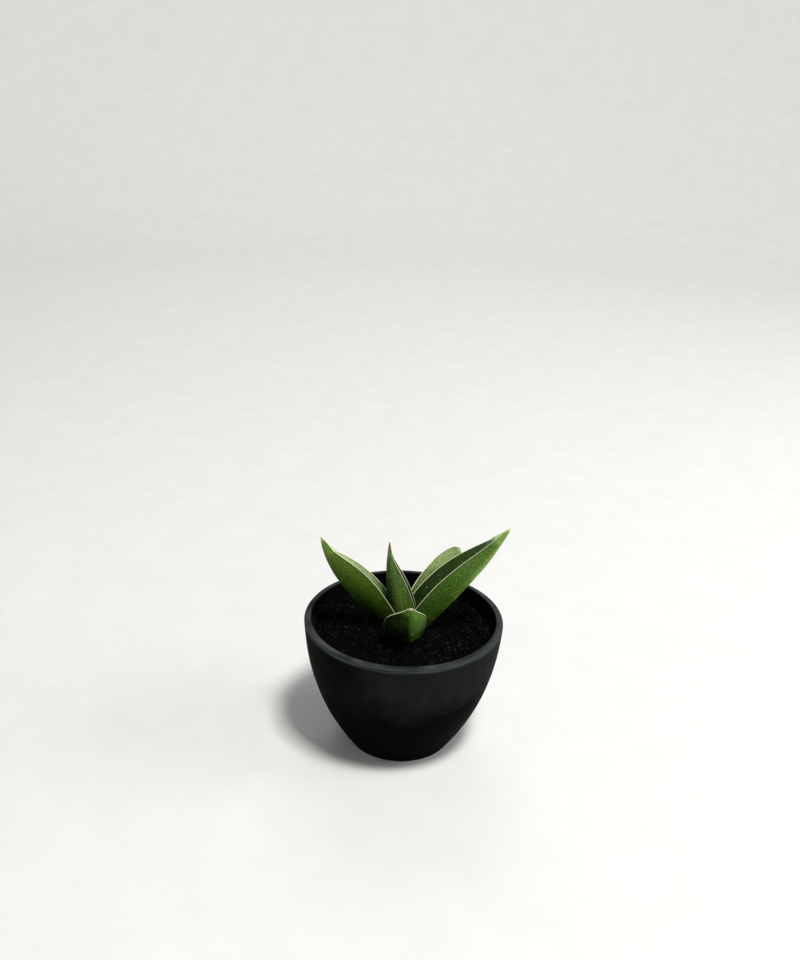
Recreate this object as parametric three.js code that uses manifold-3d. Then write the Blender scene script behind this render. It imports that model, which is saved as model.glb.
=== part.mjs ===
// A small sansevieria in a round black pot: a rosette of channelled leaves on a short rootstock,
// standing in potting soil. Millimetres and degrees, +Z up. The origin is on the pot's axis, on
// the surface that the pot stands on. The front of the pot faces -Y.

import Module from "manifold-3d";
import * as THREE from "three";
import { mergeVertices } from "three/addons/utils/BufferGeometryUtils.js";

const wasm = await Module();
wasm.setup();

// Clearance between pieces that touch on the real thing
const GAP = 0.3;

// Pot
const POT_HEIGHT = 83;
const RIM_RADIUS = 60;
const RIM_WIDTH = 4.7;
const RIM_OUTER_ROUND = 2.2;
const RIM_INNER_ROUND = 1.4;
// How far the wall stands in from the rim's radius at the foot, shared out over the first,
// second and third power of the depth below the rim
const WALL_DRAW = [3.6, 17.8, 6.7];
const FLOOR_TOP = 7;
const FLOOR_ROUND = 6;
const FOOT_ROUND = 0.8;
const FOOT_RING_INNER_RADIUS = 26;
const FOOT_RECESS = 1.6;
const DRAIN_RADIUS = 5.5;
const POT_SIDES = 48;
const OUTER_STEPS = 11;
const INNER_STEPS = 8;

// Soil
const SOIL_LEVEL = 71.5;
const SOIL_MOUND = 0.3;
const SOIL_RINGS = 13;
const SOIL_WALL_STEPS = 6;
// Each wave of the soil's relief: height, waves per millimetre along X and Y in radians, phase
const SOIL_WAVES = [
  [0.34, 0.52, 0.17, 0.4],
  [0.3, -0.21, 0.58, 2.1],
  [0.22, 0.83, -0.44, 4.4],
  [0.16, 0.36, 0.97, 1.2],
];

// Leaves. Each starts below the soil at base and grows along a curve whose heading turns from az
// by turn and whose rise above the horizontal changes from rise by lift. The blade rolls about
// that curve from roll by twist. Its half-width swells from the share foot of half to half at the
// share belly of the length and then narrows to the tip, more bluntly for a larger blunt. The
// margins stand fold half-widths above the channel's bottom and sink to it at the share close of
// the length, later for a larger shut. The keel lies keel below that bottom and is sharper for a
// smaller edge. Flesh is how far the bottom is filled, and at the share sealed the channel is full.
const LEAVES = {
  leaf_front: {
    base: [1.4, -3.1, 66], length: 52.1, az: 265.9, turn: 16.4, rise: 55.2, lift: -4.7,
    roll: -8.5, twist: 12.1, half: 12.4, foot: 0.85, belly: 0.36, blunt: 1.2,
    fold: 0.345, keel: 5.8, edge: 1.9, close: 0.9, shut: 4, sealed: 0.88, flesh: 1.5,
    colour: 0x5f8a34,
  },
  leaf_right: {
    base: [0.3, 2, 66], length: 98.5, az: 2.3, turn: -10.6, rise: 56.9, lift: -9.2,
    roll: -9.1, twist: 16.4, half: 10.1, foot: 0.63, belly: 0.46, blunt: 1.12,
    fold: 1.055, keel: 8.6, edge: 1.7, close: 0.985, shut: 2.1, sealed: 0.88, flesh: 0,
    colour: 0x4f7a2e,
  },
  leaf_left: {
    base: [1.6, 4.2, 66], length: 87.9, az: 180, turn: 21.9, rise: 50.7, lift: 5.2,
    roll: 13.5, twist: -24.3, half: 7, foot: 0.46, belly: 0.53, blunt: 1.23,
    fold: 1.19, keel: 8.3, edge: 1.7, close: 0.88, shut: 4, sealed: 0.86, flesh: 0,
    colour: 0x44702c,
  },
  leaf_centre: {
    base: [2, 2.2, 66], length: 64.6, az: 164.9, turn: 7.9, rise: 76, lift: 6.9,
    roll: -17.1, twist: 14.8, half: 4.43, foot: 0.84, belly: 0.29, blunt: 0.86,
    fold: 1.91, keel: 6.5, edge: 1.7, close: 0.873, shut: 6, sealed: 0.85, flesh: 0,
    colour: 0x4c7030,
  },
  leaf_back_right: {
    base: [1.9, 6.2, 66], length: 63.3, az: 53.9, turn: -36.3, rise: 53.7, lift: -5,
    roll: 2.6, twist: -13, half: 6.8, foot: 0.83, belly: 0.8, blunt: 3,
    fold: 1.03, keel: 5.2, edge: 1.7, close: 0.93, shut: 4, sealed: 1.14, flesh: 0,
    colour: 0x6b9440,
  },
};
const LEAF_STEPS = 18;
const LEAF_ACROSS = 11;
const CHANNEL_POWER = 1.6;
const MARGIN_WIDTH = 0.9;
const SEALING = 0.14;
const TIP_HALF_WIDTH = 0.3;

// Rootstock: a stub that the leaves sit on, and the roots under it
const STOCK_CENTRE = [0.5, 1.5];
const STOCK_TOP = 67.5;
const STOCK_BOTTOM = 50;
const STOCK_RADIUS = 8.5;
const STOCK_SIDES = 16;
const ROOT_COUNT = 5;
const ROOT_RADIUS = 1.5;
const ROOT_REACH = 26;
const ROOT_DROP = 27;
const ROOT_SIDES = 6;
const ROOT_STEPS = 6;

const radians = THREE.MathUtils.degToRad;

// A closed mesh as a solid: shared corners are merged and triangles without area dropped
function solidOf(geometry) {
  const bare = new THREE.BufferGeometry();
  bare.setAttribute("position", geometry.getAttribute("position"));
  if (geometry.index) bare.setIndex(geometry.index);
  const merged = mergeVertices(bare, 1e-4);
  const index = merged.index.array;
  const triangles = [];
  for (let i = 0; i < index.length; i += 3) {
    const [a, b, c] = [index[i], index[i + 1], index[i + 2]];
    if (a !== b && b !== c && c !== a) triangles.push(a, b, c);
  }
  return new wasm.Manifold(new wasm.Mesh({
    numProp: 3,
    vertProperties: new Float32Array(merged.getAttribute("position").array),
    triVerts: new Uint32Array(triangles),
  }));
}

// The largest body of a solid, as a mesh of that name
function meshOf(name, solid, material) {
  const bodies = solid.decompose();
  bodies.sort((a, b) => b.volume() - a.volume());
  const { vertProperties, triVerts } = bodies[0].getMesh();
  const geometry = new THREE.BufferGeometry();
  geometry.setAttribute("position", new THREE.BufferAttribute(vertProperties, 3));
  geometry.setIndex(new THREE.BufferAttribute(triVerts, 1));
  geometry.computeVertexNormals();
  const mesh = new THREE.Mesh(geometry, material);
  mesh.name = name;
  return mesh;
}

function lathe(profile, sides) {
  const points = profile.map(([radius, height]) => new THREE.Vector2(radius, height));
  const geometry = new THREE.LatheGeometry(points, sides);
  geometry.rotateX(Math.PI / 2);
  return geometry;
}

function arc(radius, height, round, from, to, steps) {
  const points = [];
  for (let i = 0; i <= steps; i++) {
    const angle = radians(from + (to - from) * i / steps);
    points.push([radius + round * Math.cos(angle), height + round * Math.sin(angle)]);
  }
  return points;
}

function outerRadius(height) {
  const depth = 1 - height / POT_HEIGHT;
  return RIM_RADIUS - WALL_DRAW.reduce((sum, draw, i) => sum + draw * depth ** (i + 1), 0);
}

function innerRadius(height) {
  return outerRadius(height) - RIM_WIDTH;
}

// Heights from low to high in even steps
function heights(low, high, steps) {
  return Array.from({ length: steps + 1 }, (_, i) => low + (high - low) * i / steps);
}

// Pot: outwards along the underside, up the outer wall, over the rim, down the inner wall,
// and inwards along the floor to the drain hole
function potGeometry() {
  const footRadius = outerRadius(FOOT_ROUND) - FOOT_ROUND;
  const rimOuter = outerRadius(POT_HEIGHT - RIM_OUTER_ROUND) - RIM_OUTER_ROUND;
  const rimInner = innerRadius(POT_HEIGHT - RIM_INNER_ROUND) + RIM_INNER_ROUND;
  const floorTurn = FLOOR_TOP + FLOOR_ROUND;
  const floorEdge = innerRadius(floorTurn) - FLOOR_ROUND;
  const outer = heights(FOOT_ROUND, POT_HEIGHT - RIM_OUTER_ROUND, OUTER_STEPS).slice(1, -1);
  const inner = heights(floorTurn, POT_HEIGHT - RIM_INNER_ROUND, INNER_STEPS).slice(1, -1);
  const profile = [
    [DRAIN_RADIUS, FOOT_RECESS],
    [FOOT_RING_INNER_RADIUS - FOOT_RECESS, FOOT_RECESS],
    [FOOT_RING_INNER_RADIUS, 0],
    ...arc(footRadius, FOOT_ROUND, FOOT_ROUND, -90, 0, 2),
    ...outer.map((height) => [outerRadius(height), height]),
    ...arc(rimOuter, POT_HEIGHT - RIM_OUTER_ROUND, RIM_OUTER_ROUND, 0, 90, 4),
    ...arc(rimInner, POT_HEIGHT - RIM_INNER_ROUND, RIM_INNER_ROUND, 90, 180, 3),
    ...inner.reverse().map((height) => [innerRadius(height), height]),
    ...arc(floorEdge, floorTurn, FLOOR_ROUND, 0, -90, 3),
    [DRAIN_RADIUS, FLOOR_TOP],
    [DRAIN_RADIUS, FOOT_RECESS],
  ];
  return lathe(profile, POT_SIDES);
}

function soilRelief(x, y) {
  const mound = SOIL_MOUND * (1 - (x * x + y * y) / RIM_RADIUS ** 2);
  return SOIL_WAVES.reduce((sum, [height, alongX, alongY, phase]) => (
    sum + height * Math.sin(alongX * x + alongY * y + phase)
  ), mound);
}

// Soil: fills the pot, and its top is level but for the mound and the waves of the relief
function soilGeometry() {
  const floor = FLOOR_TOP + GAP;
  const floorTurn = floor + FLOOR_ROUND;
  const floorEdge = innerRadius(floorTurn) - GAP - FLOOR_ROUND;
  const wall = heights(floorTurn, SOIL_LEVEL, SOIL_WALL_STEPS);
  const edge = innerRadius(SOIL_LEVEL) - GAP;
  const rings = heights(0, edge, SOIL_RINGS).slice(0, -1).reverse();
  const geometry = lathe([
    [0, floor],
    ...arc(floorEdge, floorTurn, FLOOR_ROUND, -90, 0, 3),
    ...wall.slice(1).map((height) => [innerRadius(height) - GAP, height]),
    ...rings.map((radius) => [radius, SOIL_LEVEL]),
  ], POT_SIDES);
  const position = geometry.getAttribute("position");
  for (let i = 0; i < position.count; i++) {
    const [x, y, z] = [position.getX(i), position.getY(i), position.getZ(i)];
    const onTop = z > SOIL_LEVEL - 0.01 && Math.hypot(x, y) < edge - 0.01;
    if (onTop) position.setZ(i, z + soilRelief(x, y));
  }
  return geometry;
}

// A leaf's half-width as a share of its widest, at the share s of its length
function leafSwell({ foot, belly, blunt }, s) {
  if (s < belly) return foot + (1 - foot) * Math.sin(Math.PI / 2 * s / belly);
  return Math.cos(Math.PI / 2 * ((s - belly) / (1 - belly)) ** blunt);
}

// The leaf's own axes at the share s of its length: along it, across it, and out of its channel
function leafAxes(leaf, s) {
  const heading = radians(leaf.az + leaf.turn * s);
  const rise = radians(leaf.rise + leaf.lift * s ** 1.2);
  const roll = radians(leaf.roll + leaf.twist * s);
  const along = new THREE.Vector3(
    Math.cos(rise) * Math.cos(heading), Math.cos(rise) * Math.sin(heading), Math.sin(rise));
  const level = new THREE.Vector3(-Math.sin(heading), Math.cos(heading), 0);
  const upper = new THREE.Vector3().crossVectors(along, level);
  const across = level.clone().multiplyScalar(Math.cos(roll)).addScaledVector(upper, -Math.sin(roll));
  const out = upper.clone().multiplyScalar(Math.cos(roll)).addScaledVector(level, Math.sin(roll));
  return { along, across, out };
}

// A leaf's section, as pairs across and out: the outer face from margin to margin past the keel,
// and then the channel's face back again
function leafSection(leaf, s) {
  const swell = leafSwell(leaf, s);
  const half = leaf.half * swell + TIP_HALF_WIDTH;
  const keel = leaf.keel * swell ** 0.8 + TIP_HALF_WIDTH;
  const margin = leaf.fold * half * Math.max(0, 1 - (s / leaf.close) ** leaf.shut);
  const flesh = Math.min(leaf.flesh * swell, margin);
  const rim = Math.min(MARGIN_WIDTH, half * 0.5);
  const full = Math.min(1, Math.max(0, 1 - (leaf.sealed - s) / SEALING));
  const crown = (0.9 * margin + 0.45 * half) * full ** 2;
  const outer = [];
  const inner = [];
  for (let i = 0; i < LEAF_ACROSS; i++) {
    const u = -1 + 2 * i / (LEAF_ACROSS - 1);
    const side = Math.abs(u);
    outer.push([half * u, (margin + keel) * side ** leaf.edge - keel]);
    const channel = flesh + (margin - flesh) * side ** CHANNEL_POWER + crown * (1 - u * u);
    inner.push([(half - rim) * u, channel]);
  }
  return [...outer, ...inner.reverse()];
}

// A closed outline moved outwards by grow, each corner along the normals of its two sides
function grownOutline(corners, grow) {
  return corners.map(([x, y], i) => {
    const [fromX, fromY] = corners.at(i - 1);
    const [toX, toY] = corners[(i + 1) % corners.length];
    const before = new THREE.Vector2(y - fromY, fromX - x).normalize();
    const after = new THREE.Vector2(toY - y, x - toX).normalize();
    const reach = grow / Math.max(0.4, 1 + before.dot(after));
    return [x + reach * (before.x + after.x), y + reach * (before.y + after.y)];
  });
}

// A leaf: a ring of corners at each step of its length, with the ends closed between the faces
function leafGeometry(leaf, grow = 0) {
  const corners = [];
  const centre = new THREE.Vector3(...leaf.base);
  const step = leaf.length / LEAF_STEPS;
  for (let i = 0; i <= LEAF_STEPS; i++) {
    const s = i / LEAF_STEPS;
    const { along, across, out } = leafAxes(leaf, s);
    const end = i === 0 ? -grow : i === LEAF_STEPS ? grow : 0;
    for (const [b, n] of grownOutline(leafSection(leaf, s), grow)) {
      const corner = centre.clone().addScaledVector(along, end);
      corners.push(...corner.addScaledVector(across, b).addScaledVector(out, n));
    }
    const ahead = leafAxes(leaf, s + 0.5 / LEAF_STEPS).along;
    centre.addScaledVector(ahead, step);
  }
  const ring = 2 * LEAF_ACROSS;
  const last = LEAF_STEPS * ring;
  const index = [];
  for (let i = 0; i < LEAF_STEPS; i++) {
    for (let j = 0; j < ring; j++) {
      const a = i * ring + j;
      const b = i * ring + (j + 1) % ring;
      index.push(a, b, b + ring, a, b + ring, a + ring);
    }
  }
  for (let j = 0; j < LEAF_ACROSS - 1; j++) {
    const k = ring - 1 - j;
    index.push(j, k, k - 1, j, k - 1, j + 1);
    index.push(last + j, last + k - 1, last + k, last + j, last + j + 1, last + k - 1);
  }
  const geometry = new THREE.BufferGeometry();
  geometry.setAttribute("position", new THREE.Float32BufferAttribute(corners, 3));
  geometry.setIndex(index);
  return geometry;
}

// The stub: a rounded body under the leaves
function stockGeometry(grow) {
  const middle = (STOCK_TOP + STOCK_BOTTOM) / 2;
  const tall = (STOCK_TOP - STOCK_BOTTOM) / 2 + grow;
  const profile = arc(0, 0, 1, -90, 90, 6).map(([radius, height]) => (
    [Math.max(0, radius) * (STOCK_RADIUS + grow), middle + height * tall]
  ));
  profile[0][0] = 0;
  profile[profile.length - 1][0] = 0;
  return lathe(profile, STOCK_SIDES).translate(...STOCK_CENTRE, 0);
}

// A root: runs outwards and bends down from inside the stub, in step k of a full turn
function rootGeometry(k, grow) {
  const angle = 2 * Math.PI * (k + 0.35) / ROOT_COUNT;
  const out = new THREE.Vector3(Math.cos(angle), Math.sin(angle), 0);
  const reach = ROOT_REACH * (1 - 0.12 * (k % 2));
  const start = new THREE.Vector3(...STOCK_CENTRE, STOCK_BOTTOM + 6);
  const knee = start.clone().addScaledVector(out, reach * 0.75);
  const end = start.clone().addScaledVector(out, reach);
  end.z -= ROOT_DROP;
  const path = new THREE.QuadraticBezierCurve3(start, knee, end);
  const section = new THREE.Shape();
  section.absarc(0, 0, ROOT_RADIUS + grow, 0, 2 * Math.PI);
  const points = section.getPoints(ROOT_SIDES).slice(0, -1);
  return new THREE.ExtrudeGeometry(new THREE.Shape(points), {
    steps: ROOT_STEPS, extrudePath: path, bevelEnabled: false,
  });
}

function rootstock(grow) {
  let solid = solidOf(stockGeometry(grow));
  for (let k = 0; k < ROOT_COUNT; k++) solid = solid.add(solidOf(rootGeometry(k, grow)));
  return solid;
}

const group = new THREE.Group();

const potMaterial = new THREE.MeshStandardMaterial({ color: 0x1d1e21, roughness: 0.5, metalness: 0 });
group.add(meshOf("pot", solidOf(potGeometry()), potMaterial));

// Each leaf keeps clear of the ones named before it, which clasp it where they meet
let leavesGrown = null;
for (const [name, leaf] of Object.entries(LEAVES)) {
  const whole = solidOf(leafGeometry(leaf));
  const grown = solidOf(leafGeometry(leaf, GAP));
  const material = new THREE.MeshStandardMaterial({
    color: leaf.colour, roughness: 0.5, metalness: 0,
  });
  group.add(meshOf(name, leavesGrown ? whole.subtract(leavesGrown) : whole, material));
  leavesGrown = leavesGrown ? leavesGrown.add(grown) : grown;
}

const stockMaterial = new THREE.MeshStandardMaterial({ color: 0xb98a4a, roughness: 0.8, metalness: 0 });
group.add(meshOf("rootstock", rootstock(0).subtract(leavesGrown), stockMaterial));

const soilMaterial = new THREE.MeshStandardMaterial({ color: 0x17130f, roughness: 0.95, metalness: 0 });
const filling = solidOf(soilGeometry()).subtract(leavesGrown).subtract(rootstock(GAP));
group.add(meshOf("soil", filling, soilMaterial));

export default group;
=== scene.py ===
"""Looks of a small sansevieria in a round black pot.

A rosette of fleshy, channelled leaves with pale margins grows from dark potting soil. Lengths are
in metres and angles in degrees, +Z is up, the origin is on the pot's axis on the surface that the
pot stands on, and the front of the pot faces -Y.
"""

from math import pi, radians

import bpy
import numpy as np
from mathutils import Matrix, Vector


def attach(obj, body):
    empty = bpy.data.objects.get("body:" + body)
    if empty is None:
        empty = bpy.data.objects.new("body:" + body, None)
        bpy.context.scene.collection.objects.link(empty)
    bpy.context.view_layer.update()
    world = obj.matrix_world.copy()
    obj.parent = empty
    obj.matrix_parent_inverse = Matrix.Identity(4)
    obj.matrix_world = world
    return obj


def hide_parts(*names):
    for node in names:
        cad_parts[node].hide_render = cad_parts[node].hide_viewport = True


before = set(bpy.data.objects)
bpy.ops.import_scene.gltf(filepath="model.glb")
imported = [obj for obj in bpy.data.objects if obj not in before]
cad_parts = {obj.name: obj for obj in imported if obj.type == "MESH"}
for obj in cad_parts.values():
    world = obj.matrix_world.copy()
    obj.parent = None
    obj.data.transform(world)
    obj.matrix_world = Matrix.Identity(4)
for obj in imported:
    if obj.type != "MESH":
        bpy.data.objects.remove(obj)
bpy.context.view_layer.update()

MM = 0.001

# Pot. The outer wall stands in from the rim by three powers of the depth below it.
POT_HEIGHT = 83 * MM
RIM_RADIUS = 60 * MM
RIM_WIDTH = 4.7 * MM
RIM_OUTER_ROUND = 2.2 * MM
RIM_INNER_ROUND = 1.4 * MM
WALL_DRAW = (3.6 * MM, 17.8 * MM, 6.7 * MM)
FLOOR_TOP = 7 * MM
FLOOR_ROUND = 6 * MM
FOOT_ROUND = 0.8 * MM
FOOT_RING_INNER_RADIUS = 26 * MM
FOOT_RECESS = 1.6 * MM
DRAIN_RADIUS = 5.5 * MM
DRAIN_ROUND = 0.5 * MM
POT_SIDES = 288
OUTER_WALL_STEPS = 61
INNER_WALL_STEPS = 39
# The wall's radius wavers by this much, in full from this height up
WALL_WAVER = 0.12 * MM
WAVER_HEIGHT = 20 * MM
# Each of its waves: strength, waves round the pot, phase, and twist in radians per metre up
WALL_WAVES = (
    (1, 2, 0.7, 0),
    (0.6, 3, 0, 1 / (11 * MM)),
    (0.35, 7, 0, -1 / (6 * MM)),
)

# Soil
SOIL_LEVEL = 71.5 * MM
SOIL_MOUND = 0.3 * MM
SOIL_GAP = 0.3 * MM
SOIL_RINGS = 150
SOIL_SIDES = 560
# Each wave of the relief: height, radians per metre along X and Y, phase
SOIL_WAVES = (
    (0.34 * MM, 0.52 / MM, 0.17 / MM, 0.4),
    (0.30 * MM, -0.21 / MM, 0.58 / MM, 2.1),
    (0.22 * MM, 0.83 / MM, -0.44 / MM, 4.4),
    (0.16 * MM, 0.36 / MM, 0.97 / MM, 1.2),
)
# Each size of grain in the relief: spacing, height, seed
SOIL_GRAINS = (
    (2.6 * MM, 0.55 * MM, 11),
    (1.3 * MM, 0.42 * MM, 12),
    (0.7 * MM, 0.20 * MM, 13),
)
# Patchy noise over the relief: spacing, height, seed
SOIL_PATCHES = (6 * MM, 0.5 * MM, 14)
# How far below its level the soil's hollows and its edge at the wall may lie
SOIL_HOLLOW = 1.2 * MM
SOIL_SHOULDER = 0.6 * MM

# Loose crumbs. A larger power brings more of the radii near the first of the two. Seat is how far
# a crumb stands above the soil, in radii, and fibres are crumbs stretched along one axis.
CRUMB_SEED = 21
CRUMBS = 5200
CRUMB_RADII = (0.25 * MM, 1.15 * MM)
CRUMB_POWER = 2.1
CRUMB_STRETCH = (0.6, 1.3)
CRUMB_ROUGHNESS = (0.72, 1.2)
CRUMB_SEAT = (-0.2, 0.7)
FIBRES = 260
FIBRE_RADIUS = 0.22 * MM
FIBRE_STRETCH = (6, 16)
# Crumbs on the inner wall: how high above the soil, and the side's angle with its spread
WALL_CRUMBS = 420
WALL_CRUMB_REACH = 8 * MM
WALL_CRUMB_POWER = 1.8
WALL_CRUMB_SIDE = (172, 24)
WALL_CRUMB_RADII = (0.15 * MM, 0.55 * MM)
WALL_CRUMB_SHADE = (0.6, 1)
# Small crumbs keep this share of their shade and more. A pale speck is a crumb of less than a
# radius that draws more than pale_from.
CRUMB_DARKEST = 0.35
PALE_FROM = 0.985
PALE_RADIUS = 0.8 * MM

# Leaves. Each starts below the soil at base and grows along a curve whose heading turns from az by
# turn and whose rise above the horizontal changes from rise by lift. The blade rolls about that
# curve from roll by twist. Its half-width swells from the share foot of half to half at the share
# belly of the length, and then narrows to the tip, more bluntly for a larger blunt. The margins
# stand fold half-widths above the channel's bottom and sink to it at the share close of the length,
# later for a larger shut. The keel lies keel below that bottom and is sharper for a smaller edge.
# Flesh is how far the bottom is filled, and at the share sealed the channel is full.
LEAVES = {
    "leaf_front": dict(
        base=(1.4 * MM, -3.1 * MM, 66 * MM), length=52.1 * MM, az=265.9, turn=16.4,
        rise=55.2, lift=-4.7, roll=-8.5, twist=12.1, half=12.4 * MM, foot=0.85, belly=0.36,
        blunt=1.2, fold=0.345, keel=5.8 * MM, edge=1.9, close=0.9, shut=4, sealed=0.88,
        flesh=1.5 * MM,
    ),
    "leaf_right": dict(
        base=(0.3 * MM, 2 * MM, 66 * MM), length=98.5 * MM, az=2.3, turn=-10.6,
        rise=56.9, lift=-9.2, roll=-9.1, twist=16.4, half=10.1 * MM, foot=0.63, belly=0.46,
        blunt=1.12, fold=1.055, keel=8.6 * MM, edge=1.7, close=0.985, shut=2.1, sealed=0.88,
        flesh=0,
    ),
    "leaf_left": dict(
        base=(1.6 * MM, 4.2 * MM, 66 * MM), length=87.9 * MM, az=180, turn=21.9,
        rise=50.7, lift=5.2, roll=13.5, twist=-24.3, half=7 * MM, foot=0.46, belly=0.53,
        blunt=1.23, fold=1.19, keel=8.3 * MM, edge=1.7, close=0.88, shut=4, sealed=0.86,
        flesh=0,
    ),
    "leaf_centre": dict(
        base=(2 * MM, 2.2 * MM, 66 * MM), length=64.6 * MM, az=164.9, turn=7.9,
        rise=76, lift=6.9, roll=-17.1, twist=14.8, half=4.43 * MM, foot=0.84, belly=0.29,
        blunt=0.86, fold=1.91, keel=6.5 * MM, edge=1.7, close=0.873, shut=6, sealed=0.85,
        flesh=0,
    ),
    "leaf_back_right": dict(
        base=(1.9 * MM, 6.2 * MM, 66 * MM), length=63.3 * MM, az=53.9, turn=-36.3,
        rise=53.7, lift=-5, roll=2.6, twist=-13, half=6.8 * MM, foot=0.83, belly=0.8,
        blunt=3, fold=1.03, keel=5.2 * MM, edge=1.7, close=0.93, shut=4, sealed=1.14,
        flesh=0,
    ),
}
LEAF_STEPS = 200
INSIDE_STEPS = 60
OUTER_ACROSS = 72
INNER_ACROSS = 48
LIP_STEPS = 8
CHANNEL_POWER = 1.6
MARGIN_WIDTH = 0.9 * MM
MARGIN_RISE = 0.45 * MM
SEALING = 0.14
TIP_HALF_WIDTH = 0.3 * MM
TIP_POINT = 0.5 * MM
# The distance from the margin that the base's middle and the tip are marked with
FAR_FROM_MARGIN = 10 * MM
# Powers of the share of the length, for the lift and for the spacing of the steps, and of the
# half-width's share, for the keel
LIFT_POWER = 1.2
STEP_POWER = 0.9
KEEL_POWER = 0.8
# Relief: ribs along the leaf, which wander by a share of their spacing, and a slow swelling. Fades
# are how many times faster than the leaf's width and length the relief grows from lips and tip.
RIB_DEPTH = 0.05 * MM
RIB_SPACING = 1.1 * MM
RIB_WANDER = 0.35
WANDER_SPACING = 9 * MM
SWELLING = 0.16 * MM
SWELLING_SPACING = 7 * MM
LIP_FADE = 5
TIP_FADE = 4
# How far the pattern in the channel is shifted from the outer face's
FACE_SHIFT = 20 * MM
FIRST_LEAF_SEED = 31
LEAF_SEED_STEP = 5

# Pot finish. Foot is painted shade: the colour low down and on the side turned from the light.
# Wall is the lighter colour above it. Wall and dust set in over the foot between two heights,
# which waver. Towards the painted shade side they thin out between two reaches, down to a share
# of themselves. The rim is worn pale between two depths below its top. The inside's black is
# painted shade. It sets in between two reaches outside the wall's inner edge and between two
# heights. Squeezes are in cells per metre along each axis.
POT_COLOURS = {
    # foot is painted shade, low down and on the side turned from the light
    "foot": (0.0012, 0.0012, 0.0009),
    "wall": (0.0102, 0.012, 0.012),
    "dust": (0.019, 0.0225, 0.0225),
    "rim": (0.018, 0.0215, 0.0225),
    "streak": (0.064, 0.071, 0.073),
    "speck": (0.04, 0.042, 0.042),
    # inside is painted shade on the inner wall above the soil
    "inside": (0.002, 0.0022, 0.0022),
}
POT_SPECULAR = 0.006
DUST_AND_SHADE_HEIGHTS = (42 * MM, 59 * MM)
DUST_AND_SHADE_WAVER = 8 * MM
PAINTED_SHADE_SIDE = (-0.9, -0.45, 0)
PAINTED_SHADE_REACH = (59 * MM, 27 * MM)
PAINTED_SHADE_KEEPS = 0.08
WORN_DEPTHS = (3.4 * MM, 1.6 * MM)
INNER_EDGE = RIM_RADIUS - RIM_WIDTH
PAINTED_SHADE_INSIDE_REACH = (1.2 * MM, 0.3 * MM)
PAINTED_SHADE_INSIDE_HEIGHTS = (60 * MM, 66 * MM)
WIPE_SQUEEZE = (150, 150, 36)
RIM_SQUEEZE = (46, 46, 1500)

# Soil, crumb and root finishes. A crumb's shade runs from 0 to 1 over the stops.
SOIL_COLOURS = {
    "dark": (0.0004, 0.0006, 0.0006),
    "light": (0.0042, 0.0046, 0.0046),
    "brown": (0.0055, 0.0044, 0.0034),
}
SOIL_SPECULAR = 0.02
CRUMB_SHADES = (
    (0.0, (0.0005, 0.0006, 0.0006)),
    (0.35, (0.0024, 0.0026, 0.0026)),
    (0.7, (0.006, 0.0066, 0.0066)),
    (1.0, (0.014, 0.0155, 0.0155)),
)
FIBRE_COLOUR = (0.0065, 0.005, 0.0036)
PALE_CRUMB_COLOUR = (0.042, 0.046, 0.047)
CRUMB_SPECULAR = 0.03
ROOT_COLOURS = {
    "dark": (0.2, 0.11, 0.045),
    "light": (0.5, 0.34, 0.17),
    "ring": (0.09, 0.05, 0.025),
    "soil": (0.02, 0.014, 0.01),
}
ROOT_SPECULAR = 0.5
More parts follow.
